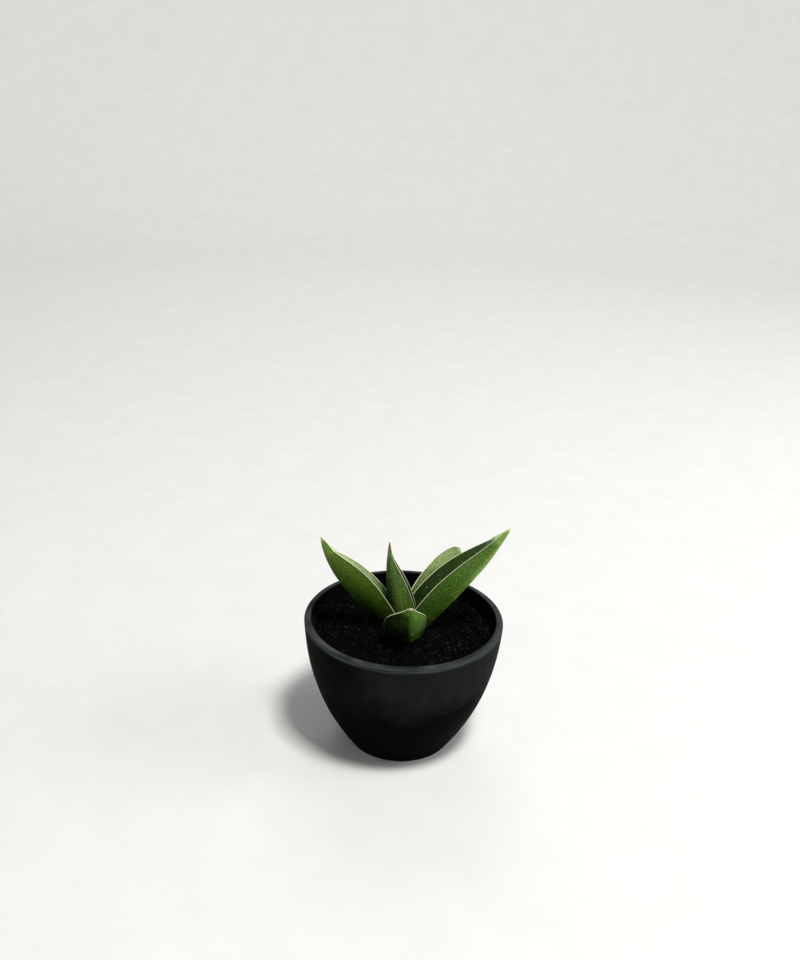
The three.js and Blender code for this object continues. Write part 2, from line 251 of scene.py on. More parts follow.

# Leaf finish. Low and high are the outer face near the soil and higher up; on all but the centre
# leaf low is darker, as painted shade near the soil. Channel_low and channel_high are the channel,
# pale on the left and back right leaves and dark on the others as painted light and shade, and
# darker near the soil as painted shade. Keel is the colour painted about the keel: painted shade
# on the left and centre leaves and a painted highlight on the front and right leaves. It reaches
# the share ridge of the way to each margin and sets in between the two shares of the length in
# ridge_reach. Dots is the grain of pale dots, of which low_dots is the share left near the soil,
# where they fade into the painted shade. Blotch tints soft patches of the outer face. Bands is how
# strong the pale cross bands are, outside and in the channel, and streaks how strong the outer
# face's long streaks are. End is the solid end past the channel, outside, and end_within on the
# channel's side. Hem is the share of the length up to which the margins are pale, and hem_width how
# wide. Point is the dry point's colour, and brown its share of the length. Painted_shade_side is
# the side, across the leaf, that is darker as painted shade. Fleck is the place of one pale fleck
# on the squeezed skin.
LEAF_COLOURS = {
    "leaf_front": dict(
        low=(0.008, 0.03, 0.002), high=(0.1, 0.22, 0.035), keel=(0.085, 0.21, 0.012),
        dots=(0.36, 0.54, 0.17), channel_low=(0.02, 0.045, 0.006), channel_high=(0.06, 0.11, 0.02),
        end=(0.085, 0.19, 0.024), end_within=(0.08, 0.17, 0.02), blotch=(0.04, 0.1, 0.006),
        bands=(0.12, 0.06), streaks=0.1, point=(0.7, 0.66, 0.42), hem=0.99, hem_width=0.78 * MM,
        ridge=0.4, ridge_reach=(0.1, 0.5), low_dots=0.3, brown=0.03, painted_shade_side=-1,
        fleck=(3.33 * MM, 9.9 * MM, 0),
    ),
    "leaf_right": dict(
        low=(0.012, 0.045, 0.004), high=(0.05, 0.13, 0.009), keel=(0.26, 0.44, 0.07),
        dots=(0.2, 0.36, 0.06), channel_low=(0.01, 0.026, 0.003), channel_high=(0.03, 0.058, 0.007),
        end=(0.18, 0.32, 0.06), end_within=(0.5, 0.6, 0.3), blotch=(0.055, 0.1, 0.007),
        bands=(0.3, 0.06), streaks=0.1, point=(0.62, 0.68, 0.3), hem=0.9, hem_width=0.36 * MM,
        ridge=0.45, ridge_reach=(0.35, 0.75), low_dots=0.6, brown=0.02, painted_shade_side=0,
    ),
    "leaf_left": dict(
        low=(0.008, 0.042, 0.003), high=(0.066, 0.14, 0.009), keel=(0.004, 0.016, 0.001),
        dots=(0.19, 0.32, 0.04), channel_low=(0.07, 0.11, 0.045), channel_high=(0.42, 0.54, 0.25),
        end=(0.14, 0.24, 0.045), end_within=(0.6, 0.7, 0.4), blotch=(0.075, 0.07, 0.006),
        bands=(0.25, 0.06), streaks=0.15, point=(0.4, 0.46, 0.16), hem=0.97, hem_width=0.36 * MM,
        ridge=0.7, ridge_reach=(1.2, 0.3), low_dots=0.3, brown=0.03, painted_shade_side=0,
    ),
    "leaf_centre": dict(
        low=(0.15, 0.22, 0.006), high=(0.085, 0.165, 0.033), keel=(0.005, 0.018, 0.005),
        dots=(0.24, 0.38, 0.12), channel_low=(0.02, 0.04, 0.005), channel_high=(0.03, 0.05, 0.012),
        end=(0.13, 0.19, 0.06), end_within=(0.2, 0.28, 0.1), blotch=(0.07, 0.07, 0.015),
        bands=(0.3, 0.06), streaks=0.45, point=(0.2, 0.08, 0.045), hem=0.86, hem_width=0.36 * MM,
        ridge=0.55, ridge_reach=(0.95, 0.5), low_dots=0.5, brown=0.11, painted_shade_side=0,
    ),
    "leaf_back_right": dict(
        low=(0.02, 0.045, 0.006), high=(0.19, 0.3, 0.085), keel=(0.1, 0.2, 0.03),
        dots=(0.5, 0.6, 0.32), channel_low=(0.01, 0.026, 0.004), channel_high=(0.33, 0.44, 0.17),
        end=(0.26, 0.37, 0.11), end_within=(0.3, 0.4, 0.14), blotch=(0.1, 0.18, 0.04),
        bands=(0.3, 0.4), streaks=0.2, point=(0.7, 0.78, 0.48), hem=0.75, hem_width=0.36 * MM,
        ridge=0.4, ridge_reach=(0.1, 0.5), low_dots=0.3, brown=0.035, painted_shade_side=0,
    ),
}
MARGIN_COLOUR = (0.78, 0.92, 0.54)
LINE_COLOUR = (0.008, 0.014, 0.004)
SPECK_COLOUR = (0.6, 0.68, 0.5)
LEAF_SPECULAR = 0.16
FLESH_WEIGHT = 0.08
FLESH_RADIUS = (1 * MM, 1.6 * MM, 0.4 * MM)
BAND_SQUEEZE = (150, 420, 150)
STRIPE_SQUEEZE = (1500, 60, 900)
STREAK_SQUEEZE = (560, 24, 900)
FLECK_SQUEEZE = (1, 0.4, 1)
FLECK_RADII = (0.65 * MM, 0.35 * MM)
# How softly the solid end and the pale margin set in, as shares of the length, and the margin's
# edge. Past that edge the dark line is full from line_start to line_fade and gone at line_end.
END_BLUR = 0.02
HEM_BLUR = 0.03
MARGIN_BLUR = 0.07 * MM
LINE_START = 0.12 * MM
LINE_FADE = 0.3 * MM
LINE_END = 0.9 * MM
# The border of the painted shade on a leaf's dark half: how far beside the keel it lies near the
# soil and at the tip, and how softly it sets in
SHADE_SHIFT = (3.2 * MM, 0.2 * MM)
SHADE_EDGE = (-1.7 * MM, 1.9 * MM)

# Floor and lights. Each light: name, place, width, power, colour
FLOOR_START = 0.02
FLOOR_FLAT = 1.5
FLOOR_BEND = 0.7
FLOOR_WALL = 0.6
FLOOR_SIDES = 96
FLOOR_SHADES = ((0.3, (0.80, 0.80, 0.79)), (0.7, (0.83, 0.83, 0.82)))
FLOOR_SPECULAR = 0.1
PLANT_HEART = (0, 0, 80 * MM)
LIGHTS = (
    ("ceiling_light", (0.48, -0.68, 2.26), 0.45, 46, (1.0, 0.98, 0.95)),
    ("side_light", (1.5, 0.0, 0.7), 0.9, 10, (0.98, 0.99, 1.0)),
    ("back_light", (-0.1, 1.6, 1.5), 1.0, 8, (0.97, 0.99, 1.0)),
)
ROOM_COLOUR = (0.95, 0.97, 1.0, 1)
ROOM_STRENGTH = 0.06

# Camera at the photograph's viewing angle. Its lens and sensor are in millimetres.
CAMERA_PLACE = (-5.4 * MM, -570.8 * MM, 414.3 * MM)
CAMERA_LENS = 40.69
CAMERA_SENSOR = 36
CAMERA_PITCH = 23.03
CAMERA_ROLL = 2.17


def smooth_noise(x, y, spacing, seed):
    """Random heights from -1 to 1 on a square lattice, blended between by a smooth step."""
    size = 64
    table = np.random.default_rng(seed).uniform(-1, 1, (size, size))
    column, row = np.floor(x / spacing).astype(int), np.floor(y / spacing).astype(int)
    across, up = x / spacing - column, y / spacing - row
    across, up = across**2 * (3 - 2 * across), up**2 * (3 - 2 * up)
    low = table[row % size, column % size]
    low = low + (table[row % size, (column + 1) % size] - low) * across
    high = table[(row + 1) % size, column % size]
    high = high + (table[(row + 1) % size, (column + 1) % size] - high) * across
    return low + (high - low) * up


def grain_domes(x, y, spacing, seed):
    """Domes from 0 to 1 high, one at a random place in each cell of a square lattice: at each
    point, the highest of the domes of the nine cells round it, each one size times the root of
    1 less its squared distance over its squared radius."""
    size = 64
    random = np.random.default_rng(seed)
    place = random.uniform(0.1, 0.9, (2, size, size))
    tall = random.uniform(0.35, 1, (size, size))
    column, row = np.floor(x / spacing).astype(int), np.floor(y / spacing).astype(int)
    across, up = x / spacing - column, y / spacing - row
    height = np.zeros_like(x)
    for i in (-1, 0, 1):
        for j in (-1, 0, 1):
            cell = (row + j) % size, (column + i) % size
            apart = (across - i - place[0][cell])**2 + (up - j - place[1][cell])**2
            radius = 0.45 + 0.4 * tall[cell]
            height = np.maximum(height, tall[cell] * np.sqrt(np.clip(1 - apart / radius**2, 0, 1)))
    return height


def make_piece(name, vertices, faces, finish):
    """A mesh of that name from arrays of corners and faces, smoothly shaded, with its finish."""
    mesh = bpy.data.meshes.new(name)
    mesh.from_pydata(vertices.reshape(-1, 3), [], faces)
    mesh.validate()
    mesh.shade_smooth()
    mesh.materials.append(finish)
    piece = bpy.data.objects.new(name, mesh)
    bpy.context.scene.collection.objects.link(piece)
    return piece


def mark(piece, name, values):
    """Stores values, three numbers for each corner, as an attribute that a finish can read."""
    attribute = piece.data.attributes.new(name, "FLOAT_VECTOR", "POINT")
    attribute.data.foreach_set("vector", np.ascontiguousarray(values, dtype=np.float32).ravel())


def grid_faces(rows, columns, round_rows=False):
    """Quads between the rows of a grid whose columns join up all round, and whose last row joins
    up with the first where round_rows is set."""
    row = np.arange(rows if round_rows else rows - 1)[:, None]
    column = np.arange(columns)[None, :]
    beside = (column + 1) % columns
    above = (row + 1) % rows
    quads = [row * columns + column, row * columns + beside,
             above * columns + beside, above * columns + column]
    return np.stack(quads, -1).reshape(-1, 4)


def fan_faces(apex, ring, outwards):
    """Triangles from one corner to each side of a closed ring of corners."""
    following = np.roll(ring, -1)
    first, second = (ring, following) if outwards else (following, ring)
    return np.stack([first, second, np.full_like(ring, apex)], -1)


def spin(profile, sides):
    """A profile of radius and height, turned about the Z axis: each corner is at radius times the
    cosine and sine of its angle, and at height."""
    angle = 2 * pi * np.arange(sides) / sides
    radius, height = profile[:, :1], profile[:, 1:]
    return np.stack([radius * np.cos(angle), radius * np.sin(angle), height + 0 * angle], -1)


def arc(centre, radius, start, end, steps):
    """Points of an arc about centre from the angle start to the angle end."""
    angle = np.radians(np.linspace(start, end, steps + 1))
    return np.stack([centre[0] + radius * np.cos(angle), centre[1] + radius * np.sin(angle)], -1)


def line(start, end, steps):
    """Points between two points of a profile, without the two themselves."""
    share = np.linspace(0, 1, steps + 1)[1:-1, None]
    return np.array(start) * (1 - share) + np.array(end) * share


def outer_radius(height):
    """The rim's radius less three powers of the depth below the rim, as a share of the height."""
    depth = 1 - height / POT_HEIGHT
    return RIM_RADIUS - sum(draw * depth**(i + 1) for i, draw in enumerate(WALL_DRAW))


def inner_radius(height):
    """The outer radius less the wall's thickness."""
    return outer_radius(height) - RIM_WIDTH


def pot_profile():
    """Outwards along the underside, up the outer wall, over the rim, down the inner wall, and
    inwards along the floor to the drain hole."""
    foot = (outer_radius(FOOT_ROUND) - FOOT_ROUND, FOOT_ROUND)
    rim_outer = POT_HEIGHT - RIM_OUTER_ROUND
    rim_inner = POT_HEIGHT - RIM_INNER_ROUND
    floor_turn = FLOOR_TOP + FLOOR_ROUND
    outer = np.linspace(FOOT_ROUND, rim_outer, OUTER_WALL_STEPS + 1)[1:-1]
    inner = np.linspace(rim_inner, floor_turn, INNER_WALL_STEPS + 1)[1:-1]
    under = (DRAIN_RADIUS + DRAIN_ROUND, FOOT_RECESS + DRAIN_ROUND)
    over = (DRAIN_RADIUS + DRAIN_ROUND, FLOOR_TOP - DRAIN_ROUND)
    recess_edge = (FOOT_RING_INNER_RADIUS - FOOT_RECESS, FOOT_RECESS)
    ring_edge = (FOOT_RING_INNER_RADIUS, 0)
    return np.concatenate([
        arc(under, DRAIN_ROUND, 180, 270, 3),
        line((under[0], FOOT_RECESS), recess_edge, 8),
        [recess_edge],
        line(recess_edge, ring_edge, 4),
        [ring_edge],
        arc(foot, FOOT_ROUND, -90, 0, 6),
        np.stack([outer_radius(outer), outer], -1),
        arc((outer_radius(rim_outer) - RIM_OUTER_ROUND, rim_outer), RIM_OUTER_ROUND, 0, 90, 10),
        arc((inner_radius(rim_inner) + RIM_INNER_ROUND, rim_inner), RIM_INNER_ROUND, 90, 180, 8),
        np.stack([inner_radius(inner), inner], -1),
        arc((inner_radius(floor_turn) - FLOOR_ROUND, floor_turn), FLOOR_ROUND, 0, -90, 8),
        line((inner_radius(floor_turn) - FLOOR_ROUND, FLOOR_TOP), (over[0], FLOOR_TOP), 8),
        arc(over, DRAIN_ROUND, 90, 180, 3),
        line((DRAIN_RADIUS, over[1]), (DRAIN_RADIUS, under[1]), 4),
    ])


def make_pot(finish):
    """The profile turned about the axis. Its radius wavers a little round the pot and with the
    height, as a cast wall's does, and not at the foot, which stays flat and round."""
    surface = spin(pot_profile(), POT_SIDES)
    angle = 2 * pi * np.arange(POT_SIDES) / POT_SIDES
    height = surface[..., 2]
    waver = sum(strength * np.sin(waves * angle + phase + twist * height)
                for strength, waves, phase, twist in WALL_WAVES)
    lifted = np.clip(height / WAVER_HEIGHT, 0, 1)
    radius = np.hypot(surface[..., 0], surface[..., 1])
    surface[..., :2] *= (1 + WALL_WAVER * waver * lifted / radius)[..., None]
    faces = grid_faces(len(surface), POT_SIDES, round_rows=True)
    return make_piece("pot_body", surface, faces, finish)


def soil_height(x, y):
    """The soil's level, plus a low mound and four long waves, plus domes of three sizes of grain
    and a patchy noise."""
    height = SOIL_LEVEL + SOIL_MOUND * (1 - (x**2 + y**2) / RIM_RADIUS**2)
    for tall, along_x, along_y, phase in SOIL_WAVES:
        height = height + tall * np.sin(along_x * x + along_y * y + phase)
    for spacing, tall, seed in SOIL_GRAINS:
        height = height + tall * (grain_domes(x, y, spacing, seed) - 0.5)
    spacing, tall, seed = SOIL_PATCHES
    return height + tall * smooth_noise(x, y, spacing, seed)


def make_soil(finish):
    """Rings from the middle of the top to the wall, at the height of the soil there, and then down
    the inside of the pot and back to the middle of the floor."""
    edge = inner_radius(SOIL_LEVEL) - SOIL_GAP
    top = np.stack([edge * np.linspace(0, 1, SOIL_RINGS + 1)[1:], np.zeros(SOIL_RINGS)], -1)
    low_turn = FLOOR_TOP + SOIL_GAP + FLOOR_ROUND
    down = np.linspace(SOIL_LEVEL - SOIL_SHOULDER, low_turn, 12)
    low_edge = inner_radius(low_turn) - SOIL_GAP - FLOOR_ROUND
    side = np.concatenate([
        np.stack([inner_radius(down) - SOIL_GAP, down], -1)[:-1],
        arc((low_edge, low_turn), FLOOR_ROUND, 0, -90, 6),
        line((low_edge, FLOOR_TOP + SOIL_GAP), (0, FLOOR_TOP + SOIL_GAP), 4),
    ])
    surface = spin(np.concatenate([top, side]), SOIL_SIDES)
    relief = soil_height(surface[:SOIL_RINGS, :, 0], surface[:SOIL_RINGS, :, 1])
    surface[:SOIL_RINGS, :, 2] = np.maximum(relief, SOIL_LEVEL - SOIL_HOLLOW)
    corners = surface.reshape(-1, 3)
    middle = [[0, 0, soil_height(np.zeros(1), np.zeros(1))[0]], [0, 0, FLOOR_TOP + SOIL_GAP]]
    count = len(corners)
    first, last = np.arange(SOIL_SIDES), np.arange(count - SOIL_SIDES, count)
    faces = grid_faces(len(surface), SOIL_SIDES)[:, ::-1].tolist()
    faces += fan_faces(count, first, True).tolist() + fan_faces(count + 1, last, False).tolist()
    return make_piece("potting_soil", np.concatenate([corners, middle]), faces, finish)


def twenty_sided():
    """Corners and faces of a regular solid with twenty sides and a radius of 1."""
    golden = (1 + 5**0.5) / 2
    flat = [(0, y, z) for y in (-1, 1) for z in (-golden, golden)]
    corners = np.array([np.roll(corner, turn) for turn in range(3) for corner in flat])
    corners = corners / np.linalg.norm(corners[0])
    apart = np.linalg.norm(corners[:, None] - corners[None], axis=-1)
    near = (apart > 0) & (apart < 1.1)
    faces = [(i, j, k) for i in range(12) for j in range(i) for k in range(j)
             if near[i, j] and near[j, k] and near[i, k]]
    faces = np.array(faces)
    a, b, c = (corners[faces[:, n]] for n in range(3))
    inwards = np.einsum("ij,ij->i", np.cross(b - a, c - a), a) < 0
    faces[inwards] = faces[inwards][:, ::-1]
    return corners, faces


def lumps(places, radii, stretch, random):
    """Rough lumps as copies of the solid with twenty sides: each corner is moved by its own random
    share of the radius, and the lump is stretched along its three axes, turned and put in place."""
    corners, faces = twenty_sided()
    count = len(places)
    rough = random.uniform(*CRUMB_ROUGHNESS, (count, len(corners), 1))
    local = corners * rough * (radii[:, None] * stretch)[:, None, :]
    turn = np.linalg.qr(random.normal(size=(count, 3, 3)))[0]
    turn = turn * np.sign(np.linalg.det(turn))[:, None, None]
    vertices = np.einsum("nij,nkj->nki", turn, local) + places[:, None, :]
    shifted = faces[None] + len(corners) * np.arange(count)[:, None, None]
    return vertices.reshape(-1, 3), shifted.reshape(-1, 3)


def make_crumbs(finish, leaves):
    """Loose crumbs, thin fibres and a few pale specks on the soil, and dust crumbs on the pot's
    inner wall above it. Each lump carries its own shade and how pale it is."""
    random = np.random.default_rng(CRUMB_SEED)
    low, high = CRUMB_RADII
    edge = inner_radius(SOIL_LEVEL) - SOIL_GAP

    count = CRUMBS + FIBRES
    distance = edge * np.sqrt(random.uniform(0, 0.99, count))
    angle = random.uniform(0, 2 * pi, count)
    x, y = distance * np.cos(angle), distance * np.sin(angle)
    radii = low + (high - low) * random.uniform(0, 1, count)**CRUMB_POWER
    stretch = random.uniform(*CRUMB_STRETCH, (count, 3))
    radii[CRUMBS:] = FIBRE_RADIUS
    stretch[CRUMBS:] = 1
    stretch[CRUMBS:, 0] = random.uniform(*FIBRE_STRETCH, FIBRES)
    z = soil_height(x, y) + radii * random.uniform(*CRUMB_SEAT, count)
    places = np.stack([x, y, z], -1)

    z = SOIL_LEVEL + WALL_CRUMB_REACH * random.uniform(0, 1, WALL_CRUMBS)**WALL_CRUMB_POWER
    angle = np.radians(random.normal(*WALL_CRUMB_SIDE, WALL_CRUMBS))
    distance = inner_radius(z)
    wall_places = np.stack([distance * np.cos(angle), distance * np.sin(angle), z], -1)
    wall_radii = random.uniform(*WALL_CRUMB_RADII, WALL_CRUMBS)

    places = np.concatenate([places, wall_places])
    radii = np.concatenate([radii, wall_radii])
    stretch = np.concatenate([stretch, np.ones((WALL_CRUMBS, 3))])
    shade = random.uniform(0, 1, len(places)) * np.clip(CRUMB_DARKEST + radii / high, 0, 1)
    shade[count:] = random.uniform(*WALL_CRUMB_SHADE, WALL_CRUMBS)
    pale = (random.uniform(0, 1, len(places)) > PALE_FROM).astype(float)
    pale[:CRUMBS] *= radii[:CRUMBS] < PALE_RADIUS
    clear = ~inside_leaves(places, leaves)
    vertices, faces = lumps(places[clear], radii[clear], stretch[clear], random)
    piece = make_piece("soil_crumbs", vertices, faces, finish)
    fibre = np.zeros(len(places))
    fibre[CRUMBS:CRUMBS + FIBRES] = 1
    tint = np.stack([shade, pale, fibre], -1)[clear]
    mark(piece, "tint", np.repeat(tint, len(vertices) // len(tint), axis=0))
    return piece


def leaf_swell(leaf, s):
    """The half-width as a share of the widest: a quarter sine from foot to 1 up to the belly, and
    then a cosine of a power of the share of the way from the belly to the tip."""
    belly, foot = leaf["belly"], leaf["foot"]
    rising = foot + (1 - foot) * np.sin(pi / 2 * np.clip(s / belly, 0, 1))
    past = np.clip((s - belly) / (1 - belly), 0, 1)
    return np.where(s < belly, rising, np.cos(pi / 2 * past**leaf["blunt"]))


def leaf_axes(leaf, s):
    """Along is the direction of growth from its heading and rise. Across is level and square to
    it, and out is square to both, each turned by the roll."""
    heading = np.radians(leaf["az"] + leaf["turn"] * s)
    rise = np.radians(leaf["rise"] + leaf["lift"] * s**LIFT_POWER)
    roll = np.radians(leaf["roll"] + leaf["twist"] * s)[..., None]
    flat = np.cos(rise)
    along = np.stack([flat * np.cos(heading), flat * np.sin(heading), np.sin(rise)], -1)
    level = np.stack([-np.sin(heading), np.cos(heading), np.zeros_like(s)], -1)
    upper = np.cross(along, level)
    across = level * np.cos(roll) - upper * np.sin(roll)
    out = upper * np.cos(roll) + level * np.sin(roll)
    return along, across, out


def leaf_spine(leaf, s):
    """The centre line: the base plus the direction of growth summed along the length."""
    middle = (s[1:] + s[:-1]) / 2
    steps = leaf_axes(leaf, middle)[0] * (np.diff(s) * leaf["length"])[:, None]
    return np.array(leaf["base"]) + np.concatenate([np.zeros((1, 3)), np.cumsum(steps, axis=0)])


def leaf_sizes(leaf, s):
    """At each share s of the length: half-width, keel depth, margin height, channel bottom, rim
    width, and crown, by which the channel's floor rises where it closes towards the tip."""
    swell = leaf_swell(leaf, s)
    half = leaf["half"] * swell + TIP_HALF_WIDTH
    keel = leaf["keel"] * swell**KEEL_POWER + TIP_HALF_WIDTH
    margin = leaf["fold"] * half * np.clip(1 - (s / leaf["close"])**leaf["shut"], 0, 1)
    flesh = np.minimum(leaf["flesh"] * swell, margin)
    rim = np.minimum(MARGIN_WIDTH, half * 0.5)
    full = np.clip(1 - (leaf["sealed"] - s) / SEALING, 0, 1)
    crown = (0.9 * margin + 0.45 * half) * full**2
    return tuple(size[:, None] for size in (half, keel, margin, flesh, rim, crown))


def leaf_section(leaf, s):
    """A closed ring at each share s: the outer face from margin to margin past the keel, a rounded
    lip, the channel's face back again, and the other lip. Outer face: at the share u of the
    half-width, the height is margin plus keel, times u to the power edge, less keel. Channel: its
    bottom plus the rest of the margin's height times u to a power, plus the crown. Lips: half
    rounds. Returns across and out distances, and the marks u and face, 0 outside to 1 inside."""
    half, keel, margin, flesh, rim, crown = leaf_sizes(leaf, s)
    u = np.sin(pi / 2 * np.linspace(-1, 1, OUTER_ACROSS + 1))[None]
    outer = half * u, (margin + keel) * np.abs(u)**leaf["edge"] - keel
    v = np.sin(pi / 2 * np.linspace(1, -1, INNER_ACROSS + 1))[None]
    channel = flesh + (margin - flesh) * np.abs(v)**CHANNEL_POWER + crown * (1 - v**2)
    inner = (half - rim) * v, channel
    turn = np.linspace(0, pi, LIP_STEPS + 1)[None, 1:-1]
    rise = np.minimum(MARGIN_RISE, rim * 0.6)
    lip = rim / 2 * np.cos(turn), margin + rise * np.sin(turn)
    middle = half - rim / 2
    across = np.concatenate([outer[0], middle + lip[0], inner[0], lip[0] - middle], 1)
    out = np.concatenate([outer[1], lip[1], inner[1], lip[1]], 1)
    rows = np.ones((len(s), 1))
    face = np.concatenate([0 * u, turn / pi, 0 * v + 1, 1 - turn / pi], 1)
    side = np.concatenate([u, 0 * turn + 1, v, 0 * turn - 1], 1)
    return across, out, rows * side, rows * face


def inside_leaves(points, leaves):
    """True where a point lies in a leaf: at the nearest step of the leaf's centre line, its place
    across and out is within the half-width and between the keel's face and the channel's."""
    inside = np.zeros(len(points), dtype=bool)
    s = np.linspace(0, 1, INSIDE_STEPS)
    for leaf in leaves.values():
        along, across, out = leaf_axes(leaf, s)
        apart = points[:, None] - leaf_spine(leaf, s)[None]
        nearest = np.abs(np.einsum("psk,sk->ps", apart, along)).argmin(1)
        apart = apart[np.arange(len(points)), nearest]
        half, keel, margin, flesh, _, _ = (size[nearest, 0] for size in leaf_sizes(leaf, s))
        reach = np.einsum("pk,pk->p", apart, across[nearest]) / half
        height = np.einsum("pk,pk->p", apart, out[nearest])
        width = np.clip(np.abs(reach), 0, 1)
        lower = (margin + keel) * width**leaf["edge"] - keel
        upper = flesh + (margin - flesh) * width**CHANNEL_POWER
        inside |= (np.abs(reach) < 1) & (height > lower) & (height < upper)
    return inside


def make_leaf(name, leaf, finish, seed):
    """The section carried along the centre line. It is then moved along its own outward normal by
    a relief: fine ribs along the leaf and a slow swelling, both fading out at the lips and tip."""
    s = np.linspace(0, 1, LEAF_STEPS + 1)**STEP_POWER
    along, across, out = leaf_axes(leaf, s)
    spine = leaf_spine(leaf, s)
    b, n, side, face = leaf_section(leaf, s)
    length = s[:, None] * leaf["length"]
    before = np.stack([b - np.roll(b, 1, 1), n - np.roll(n, 1, 1)], -1)
    after = np.roll(before, -1, 1)
    girth = np.linalg.norm(before, axis=-1)
    ring = np.cumsum(girth, 1)
    from_keel = ring - ring[:, OUTER_ACROSS // 2:OUTER_ACROSS // 2 + 1]
    tangent = before + after
    normal = np.stack([tangent[..., 1], -tangent[..., 0]], -1)
    normal /= np.linalg.norm(normal, axis=-1, keepdims=True) + 1e-12
    wander = RIB_WANDER * smooth_noise(length, 0 * length, WANDER_SPACING, seed)
    ribs = np.sin(2 * pi * (from_keel / RIB_SPACING + wander)) * RIB_DEPTH
    round_it = from_keel + FACE_SHIFT * face
    slow = smooth_noise(length + 0 * b, round_it, SWELLING_SPACING, seed + 1) * SWELLING
    fade = np.clip((1 - np.abs(side)) * LIP_FADE, 0, 1)
    fade = fade * np.clip((1 - s[:, None]) * TIP_FADE, 0, 1)
    relief = (ribs + slow) * fade
    b, n = b + normal[..., 0] * relief, n + normal[..., 1] * relief
    surface = spine[:, None] + across[:, None] * b[..., None] + out[:, None] * n[..., None]

    columns = b.shape[1]
    count = surface.shape[0] * columns
    middle_base = surface[0].mean(0)
    tip = surface[-1].mean(0) + along[-1] * TIP_POINT
    corners = np.concatenate([surface.reshape(-1, 3), [middle_base, tip]])
    first, last = np.arange(columns), np.arange(count - columns, count)
    faces = grid_faces(surface.shape[0], columns).tolist()
    faces += fan_faces(count, first, False).tolist() + fan_faces(count + 1, last, True).tolist()
    piece = make_piece(name + "_blade", corners, faces, finish)

    lip_right = OUTER_ACROSS + LIP_STEPS // 2
    lip_left = columns - LIP_STEPS // 2
    whole = ring[:, -1:]
    to_right = np.abs(ring - ring[:, lip_right:lip_right + 1])
    to_left = np.abs(ring - ring[:, lip_left:lip_left + 1])
    from_margin = np.stack([to_right, whole - to_right, to_left, whole - to_left]).min(0)
    rows = np.ones_like(b)
    skin = np.stack([from_keel, length * rows, face * FACE_SHIFT], -1).reshape(-1, 3)
    place = np.stack([s[:, None] * rows, from_margin, face], -1).reshape(-1, 3)
    end_skins = [[0, 0, 0], [0, leaf["length"], 0]]
    end_places = [[0, FAR_FROM_MARGIN, 0], [1, FAR_FROM_MARGIN, 0]]
    mark(piece, "skin", np.concatenate([skin, end_skins]))
    mark(piece, "place", np.concatenate([place, end_places]))
    return piece


def start_finish(name):
    """A new material: its node tree, and its surface shader."""
    finish = bpy.data.materials.new(name)
    finish.use_nodes = True
    return finish, finish.node_tree, finish.node_tree.nodes["Principled BSDF"]


def feed(tree, socket, value):
    """Gives an input a value, or the output that feeds it."""
    if isinstance(value, bpy.types.NodeSocket):
        tree.links.new(value, socket)
    else:
        socket.default_value = value


def add(tree, kind, inputs=None, **settings):
    """Places a shader node with its settings and inputs."""
    node = tree.nodes.new("ShaderNode" + kind)
    for name, value in settings.items():
        setattr(node, name, value)
    for name, value in (inputs or {}).items():
        feed(tree, node.inputs[name], value)
    return node


def noise(tree, vector, scale, detail=3, roughness=0.55):
    """Soft random noise from 0 to 1, with scale cells to the metre."""
    inputs = {"Vector": vector, "Scale": scale, "Detail": detail, "Roughness": roughness}
    return add(tree, "TexNoise", inputs).outputs["Fac"]


def ramp(tree, factor, *stops):
    """A colour ramp over stops of position and colour."""
    node = add(tree, "ValToRGB", {"Fac": factor})
    elements = node.color_ramp.elements
    while len(elements) < len(stops):
        elements.new(1)
    for element, (position, colour) in zip(elements, stops):
        element.position = position
        element.color = (*colour, 1)
    return node.outputs["Color"]


def span(tree, value, low, high, to_low=0, to_high=1):
    """A value's range from low to high, spread over another range and held at its ends."""
    ends = {"From Min": low, "From Max": high, "To Min": to_low, "To Max": to_high}
    return add(tree, "MapRange", {"Value": value, **ends}, clamp=True).outputs["Result"]


def mix(tree, factor, first, second, blend="MIX"):
    """Two colours blended by a factor."""
    node = add(tree, "Mix", data_type="RGBA", blend_type=blend, clamp_factor=True)
    for slot, value in ((0, factor), (6, first), (7, second)):
        feed(tree, node.inputs[slot], (*value, 1) if isinstance(value, tuple) else value)
    return node.outputs[2]


def combine(tree, operation, first, second):
    """Two numbers combined by an operation such as ADD."""
    return add(tree, "Math", {0: first, 1: second}, operation=operation).outputs[0]


def product(tree, first, *others):
    """Numbers multiplied together."""
    for other in others:
        first = combine(tree, "MULTIPLY", first, other)
    return first


def shade_by(tree, colour, share):
    """A colour multiplied by a number."""
    grey = add(tree, "CombineColor", {"Red": share, "Green": share, "Blue": share})
    return mix(tree, 1.0, colour, grey.outputs["Color"], "MULTIPLY")


def squeeze(tree, vector, scale):
    """Coordinates stretched or squeezed along each axis."""
    return add(tree, "Mapping", {"Vector": vector, "Scale": scale}).outputs["Vector"]


def measure(tree, operation, first, second):
    """A number from two vectors, by an operation such as DISTANCE."""
    return add(tree, "VectorMath", {0: first, 1: second}, operation=operation).outputs["Value"]


def split(tree, vector):
    """The three numbers of a vector."""
    return add(tree, "SeparateXYZ", {"Vector": vector}).outputs[:]


def object_place(tree):
    """Coordinates of the piece itself, in metres."""
    return add(tree, "TexCoord").outputs["Object"]


def own_mark(tree, name):
    """The attribute of that name, which the piece carries at its corners."""
    return add(tree, "Attribute", attribute_name=name).outputs["Vector"]


def dress(tree, shader, colour, roughness, specular):
    """Gives the surface shader its colour, its roughness and its specular level."""
    feed(tree, shader.inputs["Base Color"], colour)
    feed(tree, shader.inputs["Roughness"], roughness)
    shader.inputs["Specular IOR Level"].default_value = specular


def bump(tree, shader, height, strength, distance):
    """Makes the surface look as rough as a height from 0 to 1, times a distance."""
    inputs = {"Height": height, "Strength": strength, "Distance": distance}
    tree.links.new(add(tree, "Bump", inputs).outputs["Normal"], shader.inputs["Normal"])


